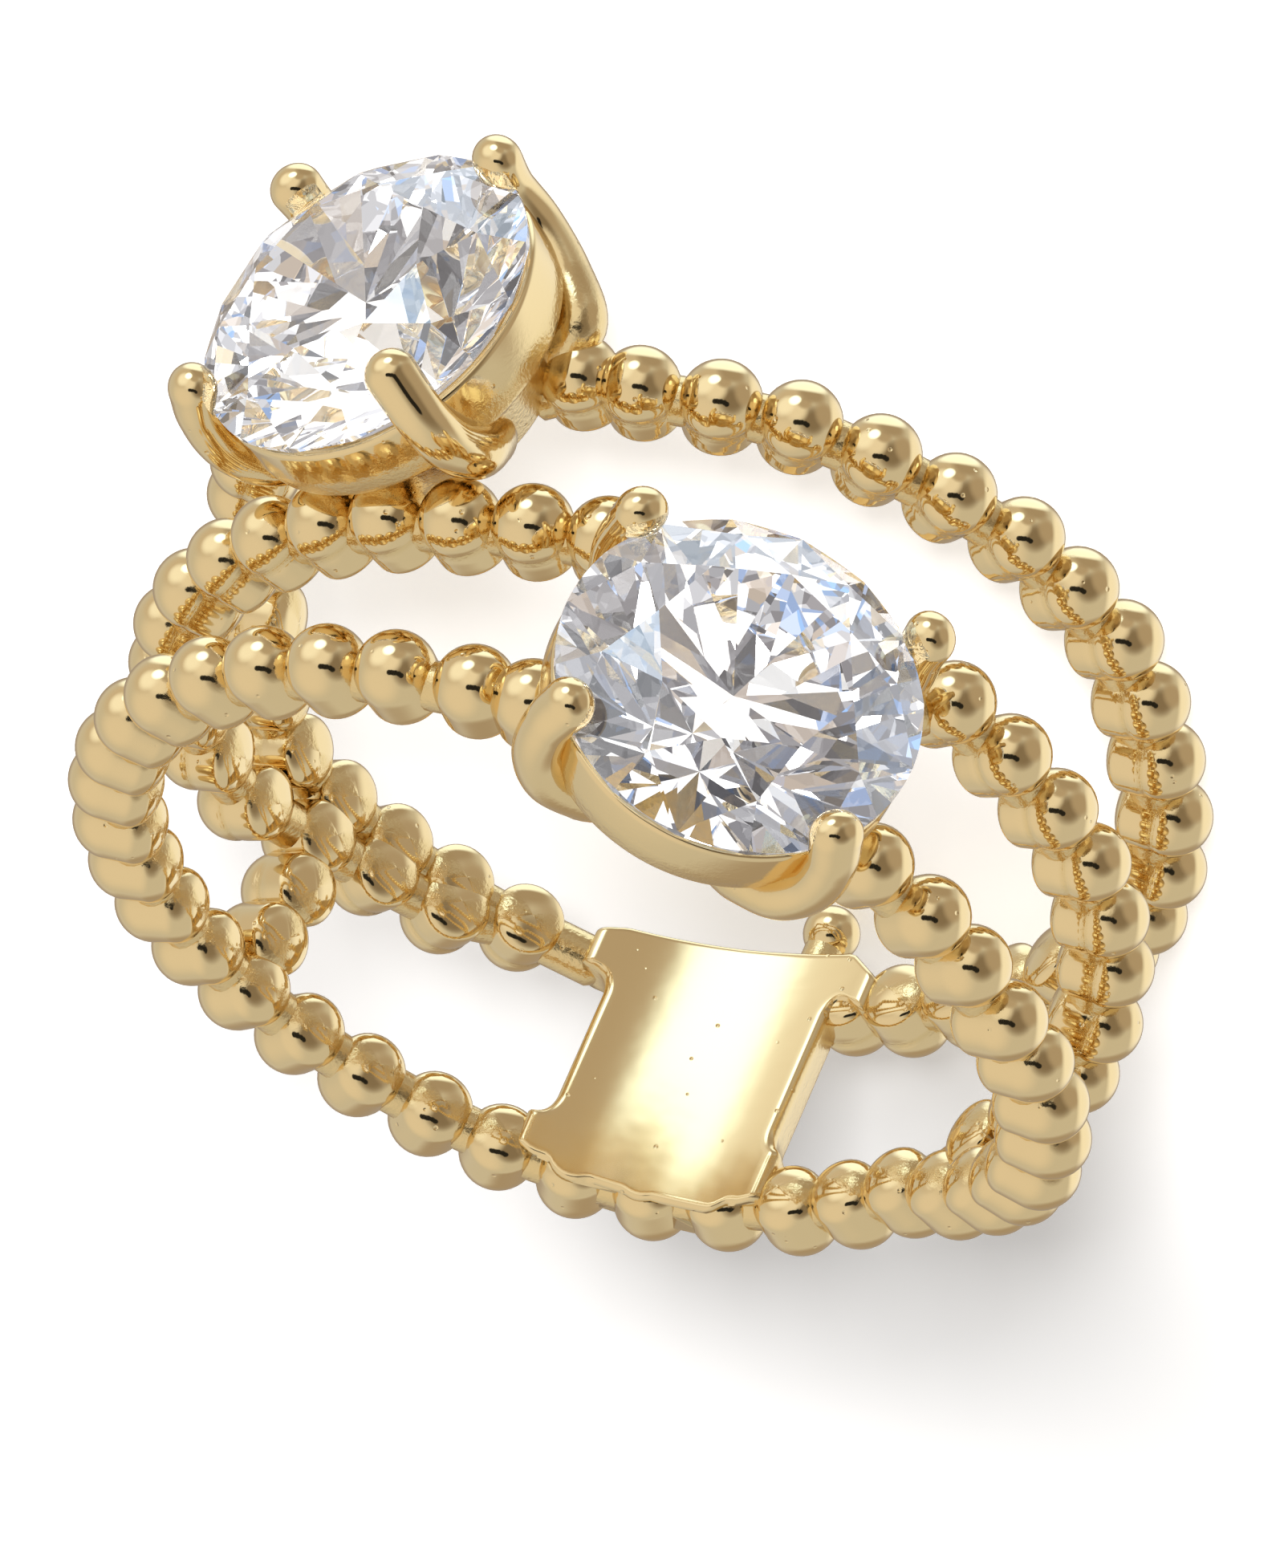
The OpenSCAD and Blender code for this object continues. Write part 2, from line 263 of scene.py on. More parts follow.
def bead_profile(size, face_round):
    """Radius and height of a bead: a pillowed face, a nearly straight side and a dome.

    The face is a superellipse of power 2.1 that turns into the side. The side widens slowly until it
    touches the dome's circle, and the dome is an arc about its own centre from there to the top.
    """
    side_r = size.bead_radius * size.side_share
    power = 2 / 2.1
    t = np.radians(np.linspace(88, 1, 16))
    edge_r = side_r * np.cos(t) ** power
    edge_h = size.face_distance + face_round * (1 - np.sin(t) ** power)
    touch = 6  # degrees below the dome's equator
    top_r = size.bead_radius * math.cos(math.radians(touch))
    top_h = size.dome_distance - size.bead_radius * math.sin(math.radians(touch))
    u = np.array([0.2, 0.45, 0.7, 0.84, 0.92, 1.0])
    a = np.radians(np.linspace(-touch, 88, 15)[1:])
    radius = edge_r, edge_r[-1] + (top_r - edge_r[-1]) * u, size.bead_radius * np.cos(a)
    height = edge_h, edge_h[-1] + (top_h - edge_h[-1]) * u, size.dome_distance + size.bead_radius * np.sin(a)
    return np.concatenate(radius), np.concatenate(height)


def beads(rows, size, seed, gap_side, face_round, seam_cut):
    """Beads along a strand: the profile spun round each bead's own radial axis.

    point = y * side + height * out + radius * (cos * along + sin * side), with a small seeded change
    of each bead's size and angle. Grain is high where a bead faces its neighbours below the dome, and
    along the seam on the side that faces the gap between the strands.
    """
    angle, y = bead_places(rows)
    r, h = bead_profile(size, face_round)
    rng = np.random.default_rng(seed)
    swell = 1 + rng.normal(0, SIZE_SPREAD, len(angle))
    angle = angle + rng.normal(0, ANGLE_SPREAD, len(angle))
    out, along = polar(angle, 0, 1.0), polar(angle + 90, 0, 1.0)
    side = np.array([0.0, 1.0, 0.0])
    phi = np.linspace(0, 2 * np.pi, size.segments, endpoint=False)
    spin = (along[:, None, :] * np.cos(phi)[None, :, None] + side * np.sin(phi)[None, :, None])
    seam = np.exp(-((h - size.dome_distance + SEAM_DEPTH) / SEAM_WIDTH) ** 2)
    gap = np.clip(np.sin(phi) * gap_side * 2 + 0.6, 0, 1)
    cut = 1 - seam_cut * seam[:, None] * gap[None, :]
    radius = np.minimum(swell, 1.0)[:, None, None] * r[None, :, None] * cut[None]
    rings = (y[:, None, None, None] * side + out[:, None, None, :] * h[None, :, None, None]
             + spin[:, None, :, :] * radius[..., None])
    way = np.gradient(np.stack([np.radians(angle) * size.dome_distance, y]), axis=1)
    heading = np.arctan2(way[1], way[0])
    facing = np.abs(np.cos(phi[None, :] - heading[:, None]))
    grain_top, grain_fade, facing_from, facing_fade = 0.42, 0.4, 0.78, 0.22
    low = np.clip((size.dome_distance + grain_top - h) / grain_fade, 0, 1)
    grain = np.clip((facing - facing_from) / facing_fade, 0, 1)[:, None, :] * low[None, :, None]
    grain = np.maximum(grain, SEAM_GRAIN * seam[None, :, None] * gap[None, None, :])
    grain = np.concatenate([grain.reshape(len(angle), -1), np.zeros((len(angle), 2))], 1).reshape(-1)
    return (*closed_shells(rings), grain)


def tubes(starts, ends, half_height, half_width, segments=20):
    """Bars between pairs of points: an ellipse, taller away from the finger than wide, with round ends.

    point = start + along * (end - start) + ellipse, and the ellipse shrinks at both ends as a circle.
    """
    way = ends - starts
    length = np.linalg.norm(way, axis=-1, keepdims=True)
    way = way / length
    middle = (starts + ends) / 2 * np.array([1, 0, 1])
    up = middle - (middle * way).sum(-1, keepdims=True) * way
    up = up / np.linalg.norm(up, axis=-1, keepdims=True)
    across = np.cross(way, up)
    end = 0.14  # share of the length that each round end takes
    t = np.concatenate([[0.0, 0.02, 0.06], np.linspace(end, 1 - end, 6), [0.94, 0.98, 1.0]])
    shrink = np.sqrt(np.clip(1 - np.clip((np.abs(t - 0.5) - (0.5 - end)) / end, 0, 0.98) ** 2, 0, 1))
    phi = np.linspace(0, 2 * np.pi, segments, endpoint=False)
    ellipse = (up[:, None, None, :] * (half_height * np.cos(phi))[None, None, :, None]
               + across[:, None, None, :] * (half_width * np.sin(phi))[None, None, :, None])
    along = way[:, None, None, :] * (length[:, :, None, None] * t[None, :, None, None])
    rings = starts[:, None, None, :] + along + ellipse * shrink[None, :, None, None]
    return (*closed_shells(rings), BAR_GRAIN)


def necks(rows, size):
    """The webs between neighbouring beads of a strand."""
    angle, y = bead_places(rows)
    at = polar(angle, y, size.neck_distance)
    return tubes(at[:-1], at[1:], size.neck_radius * NECK_HEIGHT, size.neck_radius * NECK_WIDTH)


def arms(table, size):
    """Bars from the strands' last beads to what carries them."""
    t = np.array(table, float)
    starts = polar(t[:, 0], t[:, 1], size.neck_distance)
    ends = polar(t[:, 2], t[:, 3], size.neck_distance)
    return tubes(starts, ends, ARM_R, ARM_R, 28)


def plate():
    """Plate: a grid over its outline, bent round the finger, with a rounded rim all round.

    Across the plate x goes from the left edge to the right edge at each y, and z is minus the root of
    the radius squared less x squared, at the inner and the outer radius. The front edge runs in arcs
    round the beads, each cut short, and the window corners are quarter circles.
    """
    half = PLATE_W / 2
    v = np.concatenate([np.linspace(0, 0.03, 5)[:-1], np.linspace(0.03, 0.97, 84),
                        np.linspace(0.97, 1, 5)[1:]])
    y_left, y_right = -0.1 + 4.95 * v, 0.1 + 5.2 * v

    def step_out(y, front_y, front_most, rear_y, rear_most, stretch):
        """How far a side edge stands out at y, beyond the window's corners at front_y and rear_y."""
        def bulge(centre):
            """Height of a quarter circle that rises from centre."""
            away = np.clip(np.abs(y - centre), 0, WINDOW_R)
            return WINDOW_R - np.sqrt(np.clip(WINDOW_R ** 2 - away ** 2, 0, None))

        rear = np.where(y > rear_y, np.minimum(rear_most, bulge(rear_y) * stretch), 0)
        return np.where(y < front_y, np.minimum(front_most, bulge(front_y)), rear)

    left = -half - step_out(y_left, *LEFT_WINDOW)
    right = half + step_out(y_right, *RIGHT_WINDOW)
    # cross-section loop: u runs across, w through the thickness, with elliptical corners
    near, far, count = 0.05, 0.95, 44
    flat, edge = np.linspace(near, far, count), np.linspace(0.22, 0.78, 4)
    turn = np.radians(np.linspace(0, 90, 8)[1:-1])
    out_u, out_w = near * np.sin(turn), edge[0] * (1 - np.cos(turn))
    u = np.concatenate([flat, far + out_u, np.ones(4), far + out_u[::-1], flat[::-1],
                        near - out_u, np.zeros(4), near - out_u[::-1]])
    w = np.concatenate([np.zeros(count), out_w, edge, 1 - out_w[::-1], np.ones(count),
                        1 - out_w, edge[::-1], out_w[::-1]])
    x = left[:, None] + (right - left)[:, None] * u[None, :]
    # front and rear edge: y at points across the plate
    front = np.interp(x, [-half - 0.4, -half, half - 0.2, half + 0.2], [-0.1, -0.25, -0.1, 0.1])
    for angle, y in zip(*bead_places(FRONT_ROWS)):
        if abs(angle - 180) < 12:
            gap = SCALLOP_R ** 2 - (x - FINGER_R * math.sin(math.radians(angle))) ** 2
            front = np.where(gap > 0, np.minimum(front, y - np.sqrt(np.clip(gap, 0, None))), front)
    front = np.clip(front, -0.50, np.interp(np.abs(x + 0.1), [half - 0.6, half - 0.1], [-0.37, 0.2]))
    rear = np.interp(x, [-half - 0.6, -half, 0, half, half + 0.75], [4.85, 5.1, 5.45, 5.85, 5.3])
    yy = front + (rear - front) * v[:, None]
    depth = np.clip(1 - np.minimum(yy - front, rear - yy) / RIM_R, 0, 1)
    inset = RIM_R * (1 - np.sqrt(np.clip(1 - depth ** 2, 0, 1)))
    radius = FINGER_R + inset + (PLATE_T - 2 * inset) * w[None, :]
    rings = np.stack([x, yy, -np.sqrt(radius ** 2 - x ** 2)], -1)[None]
    across = PLATE_EDGE_GRAIN * (np.abs(u - 0.5) > 0.485)
    grain = np.concatenate([across[None, :].repeat(len(v), 0).reshape(-1), [0, 0]])
    return (*closed_shells(rings), grain)


def ball():
    """Loose ball behind the plate and its stem: a circle spun about its own axis, closed at both ends."""
    t = np.radians(np.linspace(-87, 87, 22))[:, None]
    phi = np.linspace(0, 2 * np.pi, 36, endpoint=False)
    r = BALL_R * np.cos(t)
    rings = np.stack(np.broadcast_arrays(r * np.cos(phi), BALL_R * np.sin(t), r * np.sin(phi)), -1)
    stem = tubes(polar(*BALL_PLACE)[None], polar(*STEM_FOOT)[None], STEM_R, STEM_R, 24)
    return merged((*closed_shells((rings + polar(*BALL_PLACE))[None]), BALL_GRAIN), stem)


# --- settings ---


def at_place(points, place, size):
    """A setting's own axes to the ring's: leaned, moved out to the girdle, turned round the finger."""
    angle, y, lean = place
    leaned = points @ turned("X", -lean).T + np.array([0, 0, size.girdle_distance])
    return leaned @ turned("Y", angle).T + np.array([0, y, 0])


def stone_edge(h, size):
    """Radius of the stone at a height from the girdle: two cones that meet it."""
    r, g = size.stone_diameter / 2, size.girdle_thickness / 2
    crown = r - np.clip(h - g, 0, None) / math.tan(math.radians(size.crown_angle))
    return np.clip(crown - np.clip(-h - g, 0, None) / math.tan(math.radians(size.pavilion_angle)), 0, None)


def rounded_outline(corners, radius):
    """Closed outline with each corner cut back by a curve: a weighted mean of cut, corner and cut."""
    p = np.array(corners, float)
    to_last, to_next = np.roll(p, 1, 0) - p, np.roll(p, -1, 0) - p
    a = p + to_last * np.minimum(radius / np.linalg.norm(to_last, axis=1), 0.45)[:, None]
    b = p + to_next * np.minimum(radius / np.linalg.norm(to_next, axis=1), 0.45)[:, None]
    t = np.linspace(0, 1, 5)[None, :, None]
    return ((1 - t) ** 2 * a[:, None] + 2 * t * (1 - t) * p[:, None] + t ** 2 * b[:, None]).reshape(-1, 2)


def cup(size):
    """Cup of a setting: a closed outline spun round the stone's axis, kept off the stone's underside."""
    outline = rounded_outline([(size.stone_diameter / 2 + r, h) for r, h in CUP], CUP_ROUND)
    phi = np.linspace(0, 2 * np.pi, 144, endpoint=False)
    stone_end, grain_from, grain_fade = -2.4, 0.85, 0.4
    clear = np.where(outline[:, 1] > stone_end, stone_edge(outline[:, 1], size) + CUP_GAP, 0)
    r, h = np.maximum(outline[:, 0], clear)[:, None], outline[:, 1:2]
    rings = np.stack(np.broadcast_arrays(r * np.cos(phi), r * np.sin(phi), h), -1)
    points, quads, tris = closed_ring(rings)
    grain = np.clip((-points[:, 2] - grain_from) / grain_fade, 0, 1)
    return points, quads, tris, grain


def prong(tip, foot, reach, bend, size):
    """Claw: an ellipse carried along a smooth line from its foot to its tip, with a round end.

    The line is a cubic through the table's points, in even steps. Points that would lie inside the
    stone are moved out to its surface.
    """
    table = np.array(PRONG_LINE)
    angle = np.radians(tip + (foot - tip) * table[:, 2])
    r = size.stone_diameter / 2 + table[:, 0] - reach * table[:, 3] + bend * table[:, 4]
    knots = np.stack([r * np.cos(angle), r * np.sin(angle), table[:, 1] + reach * table[:, 3] * 0.8], -1)
    ends = np.concatenate([2 * knots[:1] - knots[1:2], knots, 2 * knots[-1:] - knots[-2:-1]])
    along, ending, sides, end_share = 44, 10, 32, 1.04
    t = np.linspace(0, len(knots) - 1.0001, along)
    i = t.astype(int)
    f = (t - i)[:, None]
    p0, p1, p2, p3 = ends[i], ends[i + 1], ends[i + 2], ends[i + 3]
    line = 0.5 * (2 * p1 + (p2 - p0) * f + (2 * p0 - 5 * p1 + 4 * p2 - p3) * f ** 2
                  + (3 * p1 - p0 - 3 * p2 + p3) * f ** 3)
    way = np.gradient(line, axis=0)
    way /= np.linalg.norm(way, axis=1)[:, None]
    cap = np.sin(np.radians(np.linspace(8, 86, ending)))
    line = np.concatenate([line, line[-1] + way[-1] * cap[:, None] * size.prong_radius * end_share])
    way = np.concatenate([way, np.repeat(way[-1:], len(cap), 0)])
    thick = np.interp(np.arange(along), [0, 8, 20, 34, 43], [1.05, 1.12, 1.05, 0.98, end_share])
    thick = np.concatenate([thick, end_share * np.sqrt(1 - cap ** 2)]) * size.prong_radius
    side = np.cross(way, line * np.array([1, 1, 0]))
    side /= np.linalg.norm(side, axis=1)[:, None]
    up = np.cross(side, way)
    phi = np.linspace(0, 2 * np.pi, sides, endpoint=False)
    wide, high = 1.06, 0.96
    ellipse = (side[:, None, :] * np.cos(phi)[None, :, None] * wide
               + up[:, None, :] * np.sin(phi)[None, :, None] * high)
    rings = line[:, None, :] + ellipse * thick[:, None, None]
    rho = np.linalg.norm(rings[..., :2], axis=-1)
    clear = stone_edge(rings[..., 2], size) + PRONG_GAP
    beside_stone = rings[..., 2] > -0.6
    push = np.where(beside_stone, np.maximum(1.0, clear / np.maximum(rho, 0.1)), 1.0)
    rings[..., :2] *= push[..., None]
    grain = np.interp(np.arange(along + ending), [0, 14, 26], [0.7, 0.35, 0.0])
    return (*closed_shells(rings[None]), np.concatenate([np.repeat(grain, sides), [0, 0]]))


def setting(place, prongs, size):
    """Cup and claws of one stone, in the ring's axes and clear of the finger."""
    points, quads, tris, grain = merged(cup(size), *[prong(*row, size) for row in prongs])
    points = at_place(points, place, size)
    distance = np.hypot(points[:, 0], points[:, 2])
    keep = np.maximum(1.0, (FINGER_R + FINGER_GAP) / distance)
    points[:, [0, 2]] *= keep[:, None]
    return points, quads, tris, grain


# --- stones ---


def brilliant(size):
    """Round brilliant: facets between rings of corners, whose outer edges follow the round girdle.

    Table corners, star points and lower points lie on circles at 45 degree steps. A facet next to the
    girdle takes the girdle's points between its two corners, each at the height where the facet's
    plane passes, so the facet stays flat and its edge scallops. Faces are lists of corners.
    """
    r, g = size.stone_diameter / 2, size.girdle_thickness / 2
    crown, pavilion = (math.tan(math.radians(a)) for a in (size.crown_angle, size.pavilion_angle))
    table_r, star_r, lower_r = size.table_share * r, STAR_SHARE * r, LOWER_SHARE * r
    half_step = 22.5
    star_z = g + (r - star_r * math.cos(math.radians(half_step))) * crown
    lower_z = -g - (r - lower_r * math.cos(math.radians(half_step))) * pavilion

    def corners(radius, z, start):
        """Eight corners on a circle, the first at a start angle in degrees."""
        a = np.radians(start + 45 * np.arange(8))
        return np.stack([radius * np.cos(a), radius * np.sin(a), np.full(8, z)], -1)

    arc = 8
    n = 16 * arc
    around = np.radians(np.arange(n) * half_step / arc)
    rim = np.stack([r * np.cos(around), r * np.sin(around)], -1)

    def rim_heights(apex, z):
        """Height of the girdle's points on the plane through a facet's apex and two girdle corners."""
        heights = np.full(n, z)
        for k in range(16):
            a, b, top = k * arc, (k + 1) * arc % n, apex[k // 2]
            p, q = np.array([*rim[a], z]), np.array([*rim[b], z])
            normal = np.cross(p - top, q - top)
            span = np.arange(a, a + arc)
            heights[span] = p[2] - ((rim[span] - p[:2]) @ normal[:2]) / normal[2]
        return heights

    tables = corners(table_r, g + (r - table_r) * crown, 0)
    stars, lowers = corners(star_r, star_z, half_step), corners(lower_r, lower_z, half_step)
    upper = np.concatenate([rim, rim_heights(stars, g)[:, None]], 1)
    under = np.concatenate([rim, rim_heights(lowers, -g)[:, None]], 1)
    least = 0.02
    thin = (upper[:, 2] - under[:, 2]) < least
    upper[thin, 2], under[thin, 2] = least / 2, -least / 2
    points = np.concatenate([tables, stars, upper, under, lowers, [[0, 0, -g - r * pavilion]]])
    # where the star points, the girdle's two edges, the lower points and the tip start in the list
    star, top, low = 8, 16, 16 + n
    lower = low + n
    tip = lower + 8
    faces = [list(range(8))]
    for i in range(8):
        start, last = 2 * arc * i, (i + 7) % 8
        first = [start + j for j in range(arc + 1)]
        second = [(start + arc + j) % n for j in range(arc + 1)]
        faces.append([i, star + i, (i + 1) % 8])
        faces.append([i, star + last, top + start, star + i])
        faces += [[star + i] + [top + j for j in half] for half in (first, second)]
        faces += [[lower + i] + [low + j for j in half[::-1]] for half in (first, second)]
        faces.append([lower + i, low + start, lower + last, tip])
    faces += [[top + j, low + j, low + (j + 1) % n, top + (j + 1) % n] for j in range(n)]
    return points, faces


def stone(name, place, node, material, size, seed):
    """A cut stone as its own piece, with a seeded tint per facet, standing for the node of its solid."""
    points, faces = brilliant(size)
    mesh = bpy.data.meshes.new(name)
    mesh.from_pydata(to_row(at_place(points, place, size)), [], faces)
    mesh.materials.append(material)
    tint = np.random.default_rng(seed).random(len(faces))
    mesh.attributes.new("tint", "FLOAT", "FACE").data.foreach_set("value", tint.astype(np.float32))
    mesh.update()
    obj = bpy.data.objects.new(name, mesh)
    bpy.context.scene.collection.objects.link(obj)
    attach(obj, "root")
    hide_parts(node)


# --- materials ---


def new_material(name):
    """A material, its nodes, its links and its shader."""
    mat = bpy.data.materials.new(name)
    mat.use_nodes = True
    nodes = mat.node_tree.nodes
    return mat, nodes, mat.node_tree.links, nodes["Principled BSDF"]


def set_values(node, values):
    """Sets inputs of a node by their names."""
    for name, value in values.items():
        node.inputs[name].default_value = value


def stepped(nodes, steps):
    """A ramp that jumps from each step's colour to the next one's."""
    ramp = nodes.new("ShaderNodeValToRGB")
    ramp.color_ramp.interpolation = "CONSTANT"
    elements = ramp.color_ramp.elements
    for k, (start, colour) in enumerate(steps):
        element = elements[k] if k < 2 else elements.new(start)
        element.position, element.color = start, (*colour, 1)
    return ramp


def blended(nodes, links, factor, a, b):
    """Colour from a to b by a factor, where a and b are colours or sockets."""
    mix = nodes.new("ShaderNodeMix")
    mix.data_type = "RGBA"
    links.new(factor, mix.inputs["Factor"])
    for socket, value in (("A", a), ("B", b)):
        if isinstance(value, tuple):
            mix.inputs[socket].default_value = value
        else:
            links.new(value, mix.inputs[socket])
    return mix.outputs["Result"]


def cast_grain_group():
    """Node group for cast metal: grain where the mask is high, fine pits elsewhere."""
    group = bpy.data.node_groups.get("Cast grain")
    if group:
        return group
    group = bpy.data.node_groups.new("Cast grain", "ShaderNodeTree")
    new_socket = group.interface.new_socket
    for name, value in (("Mask", 0.0), ("Grain size", 0.09), ("Pit spacing", 0.55), ("Polish", 0.07)):
        new_socket(name=name, in_out="INPUT", socket_type="NodeSocketFloat").default_value = value
    for name in ("Height", "Roughness", "Dark"):
        new_socket(name=name, in_out="OUTPUT", socket_type="NodeSocketFloat")
    n, l = group.nodes, group.links
    inp, out = n.new("NodeGroupInput"), n.new("NodeGroupOutput")
    coord = n.new("ShaderNodeTexCoord")

    def math_node(operation, a, b):
        """Result of a math node on two numbers or sockets."""
        node = n.new("ShaderNodeMath")
        node.operation = operation
        for socket, value in zip(node.inputs, (a, b)):
            if isinstance(value, (int, float)):
                socket.default_value = value
            else:
                l.new(value, socket)
        return node.outputs[0]

    per_metre = 1000  # patterns are sized in mm, and a scale counts them per metre
    grain, pits = n.new("ShaderNodeTexNoise"), n.new("ShaderNodeTexVoronoi")
    wave = n.new("ShaderNodeTexNoise")
    for texture in (grain, pits, wave):
        l.new(coord.outputs["Object"], texture.inputs["Vector"])
    l.new(math_node("DIVIDE", per_metre, inp.outputs["Grain size"]), grain.inputs["Scale"])
    l.new(math_node("DIVIDE", per_metre, inp.outputs["Pit spacing"]), pits.inputs["Scale"])
    set_values(grain, {"Detail": 3})
    set_values(wave, {"Scale": 900, "Detail": 2})
    rough = math_node("MULTIPLY", grain.outputs["Fac"], inp.outputs["Mask"])
    dots = n.new("ShaderNodeMapRange")
    dots.interpolation_type = "SMOOTHSTEP"
    set_values(dots, {"From Min": 0.03, "From Max": 0.10, "To Min": 1.0, "To Max": 0.0})
    l.new(pits.outputs["Distance"], dots.inputs["Value"])
    wave_height, pit_depth, mask_roughness, mask_dark = 0.35, 1.1, 0.16, 0.6
    relief = math_node("ADD", rough, math_node("MULTIPLY", wave.outputs["Fac"], wave_height))
    height = math_node("SUBTRACT", relief, math_node("MULTIPLY", dots.outputs[0], pit_depth))
    rougher = math_node("MULTIPLY", inp.outputs["Mask"], mask_roughness)
    l.new(height, out.inputs["Height"])
    l.new(math_node("ADD", rougher, inp.outputs["Polish"]), out.inputs["Roughness"])
    l.new(math_node("MULTIPLY", inp.outputs["Mask"], mask_dark), out.inputs["Dark"])
    return group


def gold_material(name, colour, mask_share, roughness):
    """Gold of one polish, with cast grain where the piece's grain value is high."""
    mat, n, l, bsdf = new_material(name)
    bsdf.inputs["Metallic"].default_value = 1.0
    value = n.new("ShaderNodeAttribute")
    value.attribute_name = "grain"
    share = n.new("ShaderNodeMath")
    share.operation = "MULTIPLY"
    share.inputs[1].default_value = mask_share
    l.new(value.outputs["Fac"], share.inputs[0])
    grain = n.new("ShaderNodeGroup")
    grain.node_tree = cast_grain_group()
    l.new(share.outputs[0], grain.inputs["Mask"])
    grain.inputs["Polish"].default_value = roughness
    deep = (colour[0] * 0.90, colour[1] * 0.86, colour[2] * 0.72, 1)
    l.new(blended(n, l, grain.outputs["Dark"], (*colour, 1), deep), bsdf.inputs["Base Color"])
    l.new(grain.outputs["Roughness"], bsdf.inputs["Roughness"])
    bump = n.new("ShaderNodeBump")
    set_values(bump, {"Strength": 0.55, "Distance": 0.00003})
    l.new(grain.outputs["Height"], bump.inputs["Height"])
    l.new(bump.outputs["Normal"], bsdf.inputs["Normal"])
    return mat


def stone_material(name, colour):
    """Clear stone: high index, a faint blue or warm tint from facet to facet.

    Light that has been reflected inside four times or more is not followed further: there the stone glows
    with painted glints, colours from small cells, so the depth of the stone doesn't go dark.
    """
    mat, n, l, bsdf = new_material(name)
    bsdf.inputs["Transmission Weight"].default_value = 1.0
    bsdf.inputs["Roughness"].default_value = 0.0
    bsdf.inputs["IOR"].default_value = 2.4
    tint = n.new("ShaderNodeAttribute")
    tint.attribute_name = "tint"
    tints = stepped(n, ((0.0, colour), *FACET_TINTS))
    l.new(tint.outputs["Fac"], tints.inputs["Fac"])
    l.new(tints.outputs["Color"], bsdf.inputs["Base Color"])
    # Painted glints: the stone glows with the cells' colours once light has reflected inside it more than
    # three times.
    coord, cells = n.new("ShaderNodeTexCoord"), n.new("ShaderNodeTexVoronoi")
    share, glints = n.new("ShaderNodeSeparateColor"), stepped(n, DEEP_GLINTS)
    cells.inputs["Scale"].default_value = GLINT_CELLS
    l.new(coord.outputs["Object"], cells.inputs["Vector"])
    l.new(cells.outputs["Color"], share.inputs["Color"])
    l.new(share.outputs["Red"], glints.inputs["Fac"])
    path, deep = n.new("ShaderNodeLightPath"), n.new("ShaderNodeMath")
    deep.operation = "GREATER_THAN"
    deep.inputs[1].default_value = DEEPEST
    l.new(path.outputs["Glossy Depth"], deep.inputs[0])
    painted_glint_glow = blended(n, l, deep.outputs[0], (0, 0, 0, 1), glints.outputs["Color"])
    l.new(painted_glint_glow, bsdf.inputs["Emission Color"])
    bsdf.inputs["Emission Strength"].default_value = 1.0
    return mat


def floor_material(name, colour, glow):
    """Pale matt floor, faintly uneven, that glows as a light table does.

    It glows less round one spot, painted shade that deepens the shadow there.
    """
    mat, n, l, bsdf = new_material(name)
    coord, noise = n.new("ShaderNodeTexCoord"), n.new("ShaderNodeTexNoise")
    noise.inputs["Scale"].default_value = 40
    l.new(coord.outputs["Object"], noise.inputs["Vector"])
    dimmer = (*[c * 0.985 for c in colour], 1)
    l.new(blended(n, l, noise.outputs["Fac"], (*colour, 1), dimmer), bsdf.inputs["Base Color"])
    bsdf.inputs["Roughness"].default_value = 0.7
    bsdf.inputs["Emission Color"].default_value = (colour[0], colour[1] * 0.97, colour[2] * 0.94, 1)
    # Painted shadow: the glow fades to a share of itself round one spot.
    away, fade = n.new("ShaderNodeVectorMath"), n.new("ShaderNodeMapRange")
    away.operation, fade.interpolation_type = "DISTANCE", "SMOOTHSTEP"
    away.inputs[1].default_value = SHADE_AT
    set_values(fade, {"From Min": SHADE_FROM, "From Max": SHADE_TO,
                      "To Min": SHADE_SHARE * glow, "To Max": glow})
    l.new(coord.outputs["Object"], away.inputs[0])
    l.new(away.outputs["Value"], fade.inputs["Value"])
    l.new(fade.outputs["Result"], bsdf.inputs["Emission Strength"])
    return mat


# --- settings that a user changes ---


